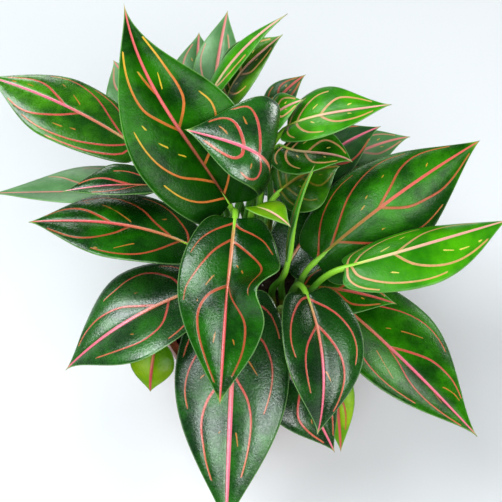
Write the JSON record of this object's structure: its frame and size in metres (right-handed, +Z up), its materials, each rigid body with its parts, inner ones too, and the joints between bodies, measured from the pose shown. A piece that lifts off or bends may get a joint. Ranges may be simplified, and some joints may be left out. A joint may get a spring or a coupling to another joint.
{
  "type": "potted chinese evergreen",
  "caption": "Bushy potted foliage plant: pointed oval green leaves with pink midribs and curved veins on short canes, in a plain round tapered plastic nursery pot.",
  "frame": {"origin": "middle of the pot's foot, on the surface that it stands on", "axes": "+Z up, -Y toward the viewer of the picture, +X to the viewer's right"},
  "size_m": [0.278, 0.2613, 0.2453],
  "materials": {
    "leaf": "waxy dark green with pink veins",
    "young_leaf": "waxy bright green with pink veins",
    "back_leaf": "dull dark green with pink veins",
    "cane": "smooth green stem with leaf scars",
    "pot_plastic": "satin moulded",
    "potting_mix": "loose, rough"
  },
  "bodies": {
    "root": {"leaf_01": "leaf", "leaf_02": "leaf", "leaf_03": "leaf", "leaf_04": "young_leaf", "leaf_05": "leaf", "leaf_06": "young_leaf", "leaf_07": "young_leaf", "leaf_08": "leaf", "leaf_09": "leaf", "leaf_10": "leaf", "leaf_11": "leaf", "leaf_12": "young_leaf", "leaf_13": "leaf", "leaf_14": "young_leaf", "leaf_15": "leaf", "leaf_16": "young_leaf", "leaf_17": "leaf", "leaf_18": "leaf", "leaf_19": "back_leaf", "leaf_20": "leaf", "leaf_21": "leaf", "leaf_22": "leaf", "leaf_23": "leaf", "leaf_24": "leaf", "leaf_25": "young_leaf", "leaf_26": "back_leaf", "leaf_27": "back_leaf", "leaf_28": "back_leaf", "leaf_29": "back_leaf", "leaf_30": "young_leaf", "leaf_31": "back_leaf", "leaf_32": "back_leaf", "leaf_33": "back_leaf", "leaf_34": "back_leaf", "leaf_35": "back_leaf", "cane_middle": "cane", "cane_right": "cane", "cane_left": "cane", "cane_back": "cane", "pot": "pot_plastic", "soil": "potting_mix"}
  },
  "joints": []
}
